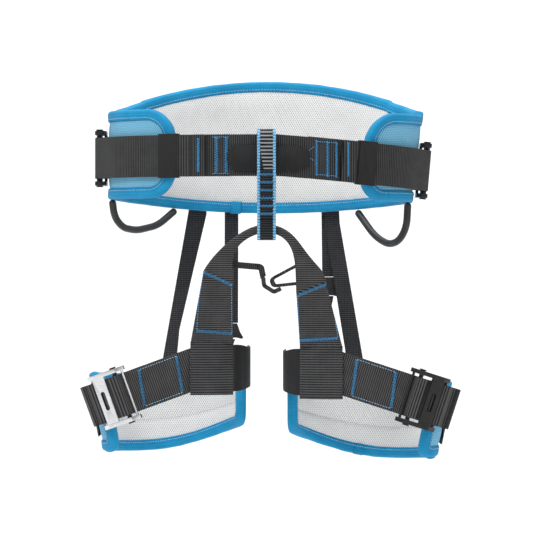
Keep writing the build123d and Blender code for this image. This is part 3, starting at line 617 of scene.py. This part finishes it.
def waist_edge(s, upper):
    p = waist.point(s, 0, 4.5) / MM
    if p.y >= 0:
        return back_high(p.x) if upper else back_low(p.x)
    flap = (-45.0, 51.0) if p.x < 0 else (-48.0, 47.0)
    near = min(s - w0, w1 - s)
    drop = 0.0
    if near < 33:
        drop = 33 - math.sqrt(max(33**2 - (33 - max(near, 0)) ** 2, 0))
    return flap[1] - drop if upper else flap[0] + drop


waist_pad = Pad(waist, w0, w1, lambda s: waist_edge(s, False), lambda s: waist_edge(s, True), seed=3)
waist_pad.build("waist_pad", "waist", ("waist_pad_foam", "waist_pad_liner", "waist_pad_shell"), 0.55)
LAP_X = -0.031  # where the binding's ends lap at the back
middle_line = ((s, waist.point(s, 0, 4.5)) for s in waist_pad.columns)
lap_s = next(s for s, p in middle_line if p.y > 0 and p.x > LAP_X)
waist_pad.bind("waist_binding", "waist", "waist_pad_binding", (lap_s, waist_edge(lap_s, False)))

LEG_EDGES = {
    -1: (
        ((-12, -225), (-110, -238), (-212, -234)),
        ((-212, -319), (-115, -322), (-12, -287)),
        -168, -235, -320,
    ),
    1: (
        ((12, -232), (115, -246), (224, -243)),
        ((224, -325), (120, -331), (12, -296)),
        172, -244, -326,
    ),
}


def leg_pad(side, ending):
    top, bottom, flap_x, flap_top, flap_low = LEG_EDGES[side]
    middle = (flap_top + flap_low) / 2
    wall = Wall(leg_at_for(side), 0.2, 7.2, middle)
    wall.level = middle
    high, low = circle_height(*top), circle_height(*bottom)
    s0 = wall.find(lambda p: side * p.x >= side * flap_x)
    s1 = wall.length
    while wall.point(s1, middle, 4.5).y / MM < 20.3:
        s1 -= 0.1

    def edge(s, upper):
        p = wall.point(s, middle, 4.5) / MM
        if p.y >= 0:
            drop = 17 - math.sqrt(max(17**2 - (17 - min(max(s1 - s, 0), 17)) ** 2, 0))
            return high(p.x) - drop if upper else low(p.x) + drop
        near = s - s0
        drop = 14 - math.sqrt(max(14**2 - (14 - min(max(near, 0), 14)) ** 2, 0))
        return flap_top - drop if upper else flap_low + drop

    def channel(s):
        return edge(s, False) + (edge(s, True) - edge(s, False)) * 0.40

    pad = Pad(wall, s0, s1, lambda s: edge(s, False), lambda s: edge(s, True), channel, 5 + side)
    body = "leg_" + ending
    parts = [f"leg_pad_{p}_{ending}" for p in ("foam", "liner", "shell")]
    pad.build("leg_pad_" + ending + "_cushion", body, parts, 0.55)
    lap = None
    if side > 0:
        lap_at = next(s for s in reversed(pad.columns) if wall.point(s, middle, 4.5).x > 0.1)
        lap = (lap_at, edge(lap_at, False))
    pad.bind("leg_binding_" + ending, body, "leg_pad_binding_" + ending, lap)
    rows = Thread()

    def line(t):
        s = s0 + 12 + (s1 - s0 - 24) * t
        return s, channel(s)

    seam_row(rows, wall, line, lambda s, z: pad.thickness(s, z, 30)[0] - 0.15)
    rows.build("leg_channel_stitching_" + ending, GREY, body)


for side, ending in SIDES:
    leg_pad(side, ending)


# ---------------------------------------------------------------- straps, from the frame's own solids
def body_name(node):
    return nodes[node]["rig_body"]


def soft_copy(name, node, material, uv, bevel=0.0007, soft=0.0, replace=True, smooth=35):
    """A strap with rolled edges: the node's shape, bevelled, gently uneven, with a map in millimetres."""
    data = nodes[node].data.copy()
    obj = bpy.data.objects.new(name, data)
    bpy.context.scene.collection.objects.link(obj)
    data.materials.clear()
    data.materials.append(material)
    weld = obj.modifiers.new("weld", "WELD")
    weld.merge_threshold = 0.00002
    if bevel:
        b = obj.modifiers.new("bevel", "BEVEL")
        b.width = bevel
        b.segments = 3
        b.limit_method = "ANGLE"
        b.angle_limit = math.radians(40)
    bpy.context.view_layer.update()
    solid = bpy.data.meshes.new_from_object(obj.evaluated_get(bpy.context.evaluated_depsgraph_get()))
    obj.modifiers.clear()
    obj.data = solid
    for layer in list(solid.uv_layers):
        solid.uv_layers.remove(layer)
    layer = solid.uv_layers.new(name="UVMap")
    where = [uv(v.co) for v in solid.vertices]
    for loop in solid.loops:
        layer.data[loop.index].uv = where[loop.vertex_index]
    if soft:
        for v in solid.vertices:
            v.co += wobble(v.co, 35, soft)
    solid.polygons.foreach_set("use_smooth", [True] * len(solid.polygons))
    solid.set_sharp_from_angle(angle=math.radians(smooth))
    if replace:
        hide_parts(node)
    return obj


def along_belt(p):
    """Map for the belt: u follows the oval, v is the height across the webbing."""
    x, y, z = p.x / MM, p.y / MM, p.z / MM
    cx, a, b, r, long_r = waist_oval(0, 12)
    reach = a - r
    if x > cx + reach * 0.98:
        hip = r * (math.atan2(y, x - cx - reach) + math.pi / 3)
        u = long_r * math.asin(min(reach / (long_r - r), 1)) + hip
    elif x < cx - reach * 0.98:
        hip = r * (math.atan2(y, -(x - cx + reach)) + math.pi / 3)
        u = -long_r * math.asin(min(reach / (long_r - r), 1)) - hip
    else:
        u = long_r * math.asin(max(min((x - cx) / long_r, 1), -1))
    return u, z + (x * 0.087 if x > 20 else 0)


def upright(p):
    return p.z / MM, p.x / MM


def level(p):
    return (p.x - p.y * 0.8) / MM, p.z / MM


def sloped(side, degrees):
    t = math.radians(degrees)

    def uv(p):
        along = p.x * math.cos(t) - side * p.z * math.sin(t)
        across = p.z * math.cos(t) + side * p.x * math.sin(t)
        return (along - side * p.y * 0.7) / MM, across / MM

    return uv


def place(obj, node):
    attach(obj, body_name(node))
    return obj


for node in ("waist_strap_left", "waist_strap_right", "waist_webbing_back", "tie_in_webbing"):
    place(soft_copy(node + "_woven", node, BELT, along_belt), node)
sleeve = soft_copy("tie_in_protector_sleeve", "tie_in_protector", SMOOTH, along_belt, 0.0009)
cut = sleeve.modifiers.new("cut", "REMESH")
cut.mode = "VOXEL"
cut.voxel_size = 0.0011
bpy.context.view_layer.update()
sleeve.data = bpy.data.meshes.new_from_object(sleeve.evaluated_get(bpy.context.evaluated_depsgraph_get()))
sleeve.modifiers.clear()
low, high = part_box("tie_in_protector")
core = (low + high) / 2
for v in sleeve.data.vertices:
    across = min(abs(v.co.z - core.z) / ((high.z - low.z) / 2), 1)
    along = min(abs(v.co.x - core.x) / ((high.x - low.x) / 2), 1)
    v.co.y -= 0.0030 * (1 - across**2) * (1 - along**4) + 0.0004 * math.sin(v.co.x * 260)
layer = sleeve.data.uv_layers.new(name="UVMap")
for loop in sleeve.data.loops:
    layer.data[loop.index].uv = along_belt(sleeve.data.vertices[loop.vertex_index].co)
sleeve.data.polygons.foreach_set("use_smooth", [True] * len(sleeve.data.polygons))
place(sleeve, "tie_in_protector")


def lay(node, look, material, uv, *shape):
    """A strap's soft copy, named for its look and placed on the body of its node."""
    return place(soft_copy(f"{node}_{look}", node, material, uv, *shape), node)


LEG_SLOPE = {-1: 20, 1: 18}  # degrees that each leg strap falls to the outside
SLEEVE_TOP = {-1: -0.2, 1: -0.2045}  # height where each riser's sleeve ends
BRIDGE_TILT = {-1: 65, 1: 68}  # degrees that each bridge falls where it meets its riser
for side, ending in SIDES:
    lay(f"waist_keeper_{ending}", "elastic", SMOOTH, along_belt, 0.0003)
    lay(f"waist_anchor_{ending}", "fold", BELT, along_belt)
    slope = sloped(side, LEG_SLOPE[side])
    lay(f"leg_strap_{ending}", "woven", LEGWEB, slope)
    lay(f"leg_anchor_{ending}", "fold", LEGWEB, slope)
    lay(f"leg_webbing_back_{ending}", "woven", LEGWEB, level)
    band = soft_copy(f"thigh_band_{ending}_smooth", f"thigh_band_{ending}", SMOOTH, level)
    low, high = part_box(f"thigh_band_{ending}")
    core = (low + high) / 2
    edge_x = min(abs(low.x), abs(high.x))
    for v in band.data.vertices:
        t = min(max(1 - (abs(v.co.x) - edge_x) / 0.016, 0), 1) ** 2
        v.co.z = core.z + (v.co.z - core.z) * (1 - 0.16 * t)
    place(band, f"thigh_band_{ending}")
    riser = lay(f"front_riser_{ending}", "sewn", SLEEVE, upright)
    riser.data.materials.append(LEGWEB)
    for face in riser.data.polygons:
        if face.center.z > SLEEVE_TOP[side] + 0.0005:
            face.material_index = 1
    node = f"front_bridge_{ending}"
    flare = soft_copy(node + "_rolled", node, LEGWEB, upright, bevel=0, smooth=80)
    tilt = math.radians(BRIDGE_TILT[side])
    away = Vector((side * math.cos(tilt), 0, -math.sin(tilt)))
    end = max(v.co.dot(away) for v in flare.data.vertices)
    for v in flare.data.vertices:
        if v.co.dot(away) > end - 0.0004:
            v.co += away * 0.0016
        elif abs(v.co.x) < 0.0004:
            v.co.x -= side * 0.0005
    place(flare, node)
    lay(f"rear_hook_loop_{ending}", "woven", ELASTIC, upright, 0.0004)
    for part in ("rear_riser_outer", "rear_riser_inner"):
        node = f"{part}_{ending}"
        strap = soft_copy(node + "_elastic", node, ELASTIC, upright, 0.0004)
        low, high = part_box(node)
        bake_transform(strap)
loop_piece = lay("belay_loop", "woven", LOOPWEB, upright, 0.0012)
loop_piece.data.materials.append(LAPWEB)
for face in loop_piece.data.polygons:
    face.material_index = int(face.center.z < -0.02)
lay("belay_loop_lap", "woven", LAPWEB, upright, 0.0006)
for node, ending in (("connector_strap_left", "left"), ("connector_loop_right", "right")):
    strap = soft_copy(node + "_elastic", node, ELASTIC, level, 0.0004)
    low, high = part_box(node)
    if ending == "left":
        # the strap's sewn end reaches down over the top of the hook
        drop = low.z - (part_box("connector_hook")[1].z - 0.0022)
        for v in strap.data.vertices:
            if v.co.z < low.z + 0.004:
                v.co += Vector((-0.4 * drop, 0, -drop))
    else:
        # the loop runs in behind the riser, and its nose hangs down into the hook
        for v in strap.data.vertices:
            t = (high.x - v.co.x) / (high.x - low.x)
            v.co += Vector((0.008 * (1 - t) - 0.002 * t, 0, -0.0065 * t))
    mid = (low + high) / 2
    near, far = (high.x - 0.004, low.x + 0.004) if ending == "left" else (low.x + 0.008, high.x - 0.003)
    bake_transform(strap)


# ---------------------------------------------------------------- hard pieces keep the CAD shape
def paint(node, material, bevel=0.0005, segments=3):
    obj = nodes[node]
    obj.data.materials.clear()
    obj.data.materials.append(material)
    weld = obj.modifiers.new("weld", "WELD")
    weld.merge_threshold = 0.00002
    if bevel:
        b = obj.modifiers.new("bevel", "BEVEL")
        b.width = bevel
        b.segments = segments
        b.limit_method = "ANGLE"
        b.angle_limit = math.radians(35)
        b.harden_normals = False
    obj.data.polygons.foreach_set("use_smooth", [True] * len(obj.data.polygons))
    obj.data.set_sharp_from_angle(angle=math.radians(40))


for side, ending in SIDES:
    paint(f"waist_buckle_frame_{ending}", BLACK_STEEL, 0.0006)
    paint(f"waist_buckle_bar_{ending}", BLACK_STEEL, 0.0003)
    metal = BRIGHT_STEEL if side < 0 else BLACK_STEEL
    paint(f"leg_buckle_frame_{ending}", metal, 0.0006)
    paint(f"leg_buckle_bar_{ending}", BLACK_STEEL, 0.0003)
    paint(f"gear_loop_{ending}", TUBE, 0)
    paint(f"rear_hook_{ending}", PLASTIC, 0.0006)
paint("connector_hook", PLASTIC, 0.0009)


# ---------------------------------------------------------------- stitching on the straps
def skin(*names):
    """Ray target made of frame nodes."""
    verts, faces = [], []
    for name in names:
        base = len(verts)
        data = nodes[name].data
        verts += [v.co.copy() for v in data.vertices]
        faces += [[base + i for i in p.vertices] for p in data.polygons]
    return BVHTree.FromPolygons(verts, faces)


def front_of(tree, x, z):
    """The foremost point and normal at x, z in millimetres."""
    hit, normal, _, _ = tree.ray_cast(Vector((x * MM, -0.6, z * MM)), Vector((0, 1, 0)))
    if hit is None:
        return None
    return hit, (normal if normal.y < 0 else -normal)


def bar_tack(threads, tree, a, b, width=2.6, pitch=0.85, radius=0.00075):
    """A dense zigzag from a to b, each (x, z) in millimetres."""
    length = math.hypot(b[0] - a[0], b[1] - a[1])
    t = ((b[0] - a[0]) / length, (b[1] - a[1]) / length)
    n = int(length / pitch)
    pts = []
    for i in range(n + 1):
        sway = (width / 2) * (1 if i % 2 else -1)
        x = a[0] + t[0] * i * pitch - t[1] * sway
        z = a[1] + t[1] * i * pitch + t[0] * sway
        found = front_of(tree, x, z)
        if found:
            pts.append(found[0] + found[1] * radius * 0.5)
    if len(pts) > 2:
        threads.tube(pts, radius, 4)


def stitch_row(threads, tree, points, pitch=3.0, share=0.66, radius=0.00036):
    """Running stitches along a polyline of (x, z) in millimetres."""
    for a, b in zip(points, points[1:]):
        length = math.hypot(b[0] - a[0], b[1] - a[1])
        n = max(int(length / pitch), 1)
        for i in range(n):
            ends = []
            for f in (i / n, (i + share) / n):
                found = front_of(tree, a[0] + (b[0] - a[0]) * f, a[1] + (b[1] - a[1]) * f)
                if found:
                    ends.append(found)
            if len(ends) == 2 and (ends[0][0] - ends[1][0]).length < 0.004:
                threads.dash(ends[0][0], ends[1][0], ends[0][1], radius)


def box_mm(node):
    low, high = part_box(node)
    return low / MM, high / MM


# front belt
belt = skin("waist_strap_left", "waist_strap_right", "tie_in_webbing")
rows = Thread()
lo, hi = box_mm("tie_in_webbing")
bar_tack(rows, belt, (lo.x - 12, 18), (lo.x - 12, -18))
bar_tack(rows, belt, (lo.x + 7.5, 19), (lo.x + 7.5, -19), 3.4, 0.9)
bar_tack(rows, belt, (lo.x + 18, 19), (lo.x + 18, -19), 3.4, 0.9)
stitch_row(rows, belt, [(lo.x + 3, 19.5), (lo.x + 21, 19.5)], 2.2)
stitch_row(rows, belt, [(lo.x + 3, -19.5), (lo.x + 21, -19.5)], 2.2)
for back_from in (24.5, 12.7, 3.1):
    x = hi.x - back_from
    bar_tack(rows, belt, (x, 19.5 - (x - 12) * 0.087), (x, -18.5 - (x - 12) * 0.087), 2.2, 0.8)
stitch_row(rows, belt, [(hi.x - 24, 14.8), (hi.x - 4, 13.4)], 2.4)
stitch_row(rows, belt, [(hi.x - 24, -20.5), (hi.x - 4, -22)], 2.4)
curve = [(hi.x - 27 - 8 * math.sin(math.pi * k / 10), 9 - 15 * k / 10) for k in range(11)]
stitch_row(rows, belt, curve, 2.4)
bar_tack(rows, belt, (hi.x + 9.7, 14), (hi.x + 9.7, -23), 1.8, 0.8)
rows.build("waist_belt_stitching", THREAD, "waist")

# belay loop: sewn edges and the bar tacks down its lap
loop_tree = skin("belay_loop", "belay_loop_lap")
rows, edge_rows = Thread(), Thread()
lo, hi = box_mm("belay_loop_lap")
for k in range(6):
    z = hi.z - 5 - k * 8.4
    bar_tack(rows, loop_tree, (lo.x + 1.2, z), (hi.x - 1.2, z), 2.4, 0.8, 0.0006)
llo, lhi = box_mm("belay_loop")
for x in (llo.x + 1.3, lhi.x - 1.3):
    bar_tack(edge_rows, loop_tree, (x, lhi.z - 2), (x, llo.z + 3), 1.5, 1.7, 0.0005)
rows.build("belay_loop_bar_tacks", THREAD, "belay")
edge_rows.build("belay_loop_edge_stitching", PALE, "belay")

# legs
for side, ending in SIDES:
    riser = skin(f"front_riser_{ending}", f"front_bridge_{ending}")
    strap = skin(f"leg_strap_{ending}", f"front_riser_{ending}")
    lo, hi = box_mm(f"front_riser_{ending}")
    inner = hi.x if side < 0 else lo.x
    outer = lo.x if side < 0 else hi.x
    rows = Thread()
    if side < 0:
        upper = [(outer + 14.6, hi.z - 1), (inner - 1.5, hi.z - 14.5)]
        lower = [(inner - 1.5, hi.z - 67), (outer + 7, hi.z - 64)]
    else:
        upper = [(outer - 18, hi.z - 2), (inner + 1.2, hi.z - 14)]
        lower = [(inner + 3.6, hi.z - 62.5), (outer - 5, hi.z - 60)]
    corners = upper + lower
    bar_tack(rows, riser, corners[0], corners[1], 3.2, 0.8)
    bar_tack(rows, riser, corners[2], corners[3], 3.2, 0.8)
    stitch_row(rows, riser, [corners[1], corners[2]])
    mid = ((corners[0][0] + corners[3][0]) / 2 + side * 1.6, (corners[0][1] + corners[3][1]) / 2)
    stitch_row(rows, riser, [corners[0], mid, corners[3]])
    slope = math.radians(20 if side < 0 else 18)
    cx, cz = side * 82, -230.8 if side < 0 else -234.6

    def on_strap(along, across):
        return (
            cx + side * along * math.cos(slope) + side * across * math.sin(slope),
            cz - along * math.sin(slope) + across * math.cos(slope),
        )

    near, far = (13.0, 56.0) if side < 0 else (14.0, 58.0)
    bar_tack(rows, strap, on_strap(near - 4, 19), on_strap(near + 3, -19), 3.2, 0.8)
    bar_tack(rows, strap, on_strap(far - 4, 19), on_strap(far + 3, -19), 3.2, 0.8)
    rows.build(f"leg_stitching_{ending}", THREAD, "leg_" + ending)
    rows = Thread()
    stitch_row(rows, strap, [on_strap(near - 4, 19.5), on_strap(far - 4, 19.5)])
    stitch_row(rows, strap, [on_strap(near + 3, -19.5), on_strap(far + 3, -19.5)])
    rows.build(f"leg_edge_stitching_{ending}", PALE, "leg_" + ending)

# ---------------------------------------------------------------- studio
floor = make("floor", [(-6, -6, -0.46), (6, -6, -0.46), (6, 3, -0.46), (-6, 3, -0.46)], [(0, 1, 2, 3)], None,
             (paper("floor_paper", 0.93),))
# the backdrop only fills the camera's own view, so that it hides nothing from behind
WALL = [(-0.75, 3, -0.46), (0.75, 3, -0.46), (0.75, 3, 0.62), (-0.75, 3, 0.62)]
wall_ = make("backdrop", WALL, [(0, 1, 2, 3)], None, (paper("wall_paper", 0.93),))


def lamp(name, where, target, size, watts):
    data = bpy.data.lights.new(name, "AREA")
    data.shape = "SQUARE"
    data.size = size
    data.energy = watts
    obj = bpy.data.objects.new(name, data)
    bpy.context.scene.collection.objects.link(obj)
    obj.location = where
    obj.rotation_euler = (Vector(target) - Vector(where)).to_track_quat("-Z", "Y").to_euler()


middle = (REST_LOW + REST_HIGH) / 2
lamp("key", (-1.3, -2.2, 1.7), middle, 1.0, 38)
lamp("fill", (1.8, -2.2, 0.4), middle, 1.8, 9)
lamp("back", (0.2, 1.3, 1.6), (0, 0.1, 0), 1.2, 9)
lamp("wall_wash", (0.0, 0.6, 2.6), (0, 3, 0.2), 3.0, 95)
world = bpy.data.worlds.new("studio")
world.use_nodes = True
world.node_tree.nodes["Background"].inputs[0].default_value = (1, 1, 1, 1)
world.node_tree.nodes["Background"].inputs[1].default_value = 0.42
bpy.context.scene.world = world
bpy.context.scene.view_settings.view_transform = "Standard"

eye = bpy.data.cameras.new("camera")
eye.sensor_width = 36
eye.lens = 245
camera = bpy.data.objects.new("camera", eye)
bpy.context.scene.collection.objects.link(camera)
camera.location = (0, -4.0, -0.119)
camera.rotation_euler = (math.radians(90), 0, 0)
bpy.context.scene.camera = camera
